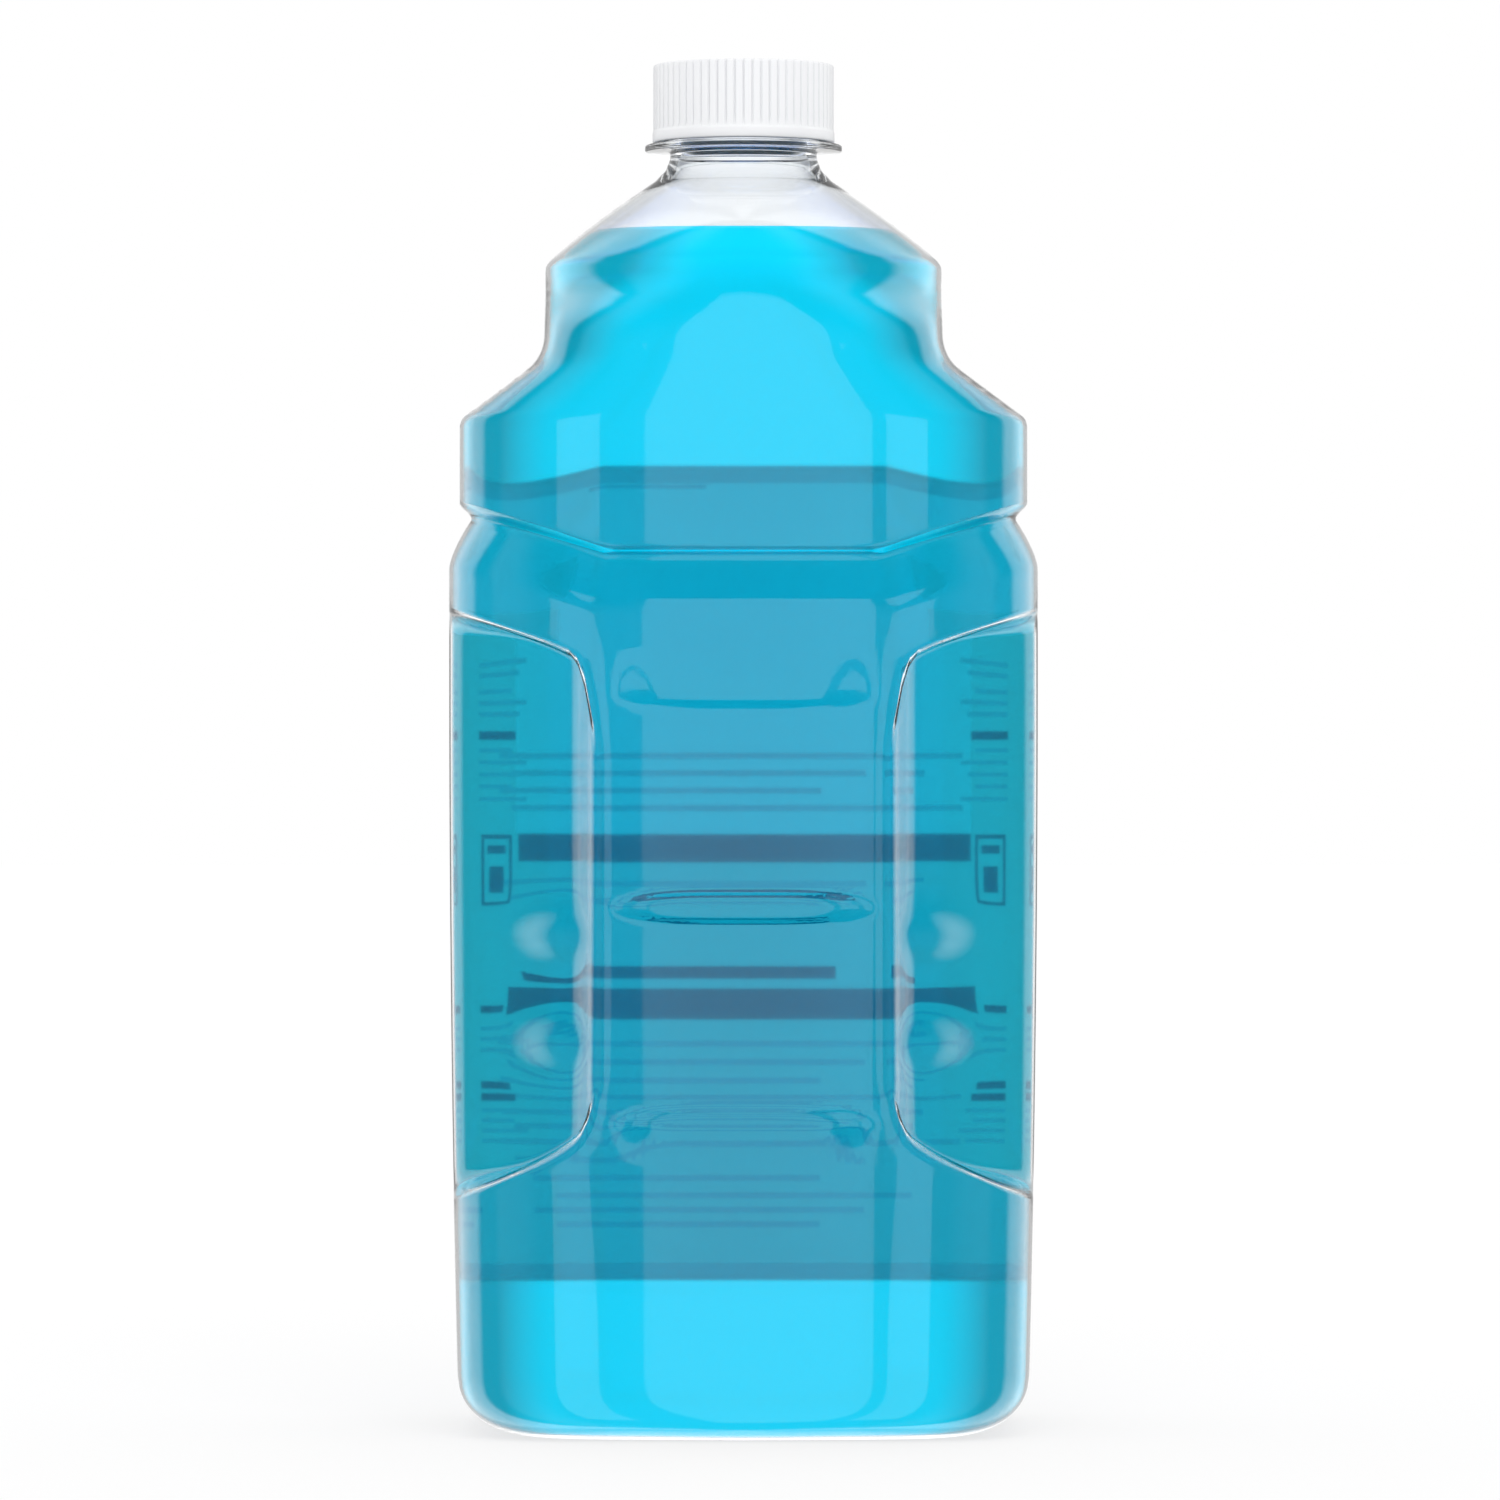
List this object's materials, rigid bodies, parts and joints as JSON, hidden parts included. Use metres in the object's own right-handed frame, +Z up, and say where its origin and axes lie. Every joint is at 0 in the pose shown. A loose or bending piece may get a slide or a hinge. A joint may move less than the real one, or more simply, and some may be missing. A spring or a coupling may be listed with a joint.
{
  "type": "cleaner refill bottle",
  "caption": "Clear moulded bottle with hand grips in its back corners, filled with cyan cleaning liquid, with a ribbed white screw cap and a front label.",
  "frame": {"origin": "centre of the bounding box at the base, on the floor the bottle stands on", "axes": "+Z up along the neck, +Y towards the label side, +X to the right when the grip side is looked at"},
  "size_m": [0.1198, 0.0836, 0.2791],
  "materials": {
    "clear_pet": "gloss",
    "cleaning_liquid": "gloss",
    "white_cap": "satin",
    "liner_foam": "matte",
    "label_film": "satin"
  },
  "bodies": {
    "bottle_body": {"bottle": "clear_pet", "liquid": "cleaning_liquid", "label": "label_film"},
    "seal": {"cap_liner": "liner_foam"},
    "screw_cap": {"cap": "white_cap"}
  },
  "joints": [
    {"name": "cap_lift", "type": "slide", "parent": "bottle_body", "child": "seal", "axis": [0, 0, 1], "range_m": [0, 0.0054]},
    {"name": "cap_turn", "type": "hinge", "parent": "seal", "child": "screw_cap", "pos_m": [0, 0, 0.27], "axis": [0, 0, 1], "range_deg": [0, 450]}
  ],
  "couplings": [
    {"joint": "cap_lift", "follows": "cap_turn", "m_per_rad": 0.00067375}
  ]
}
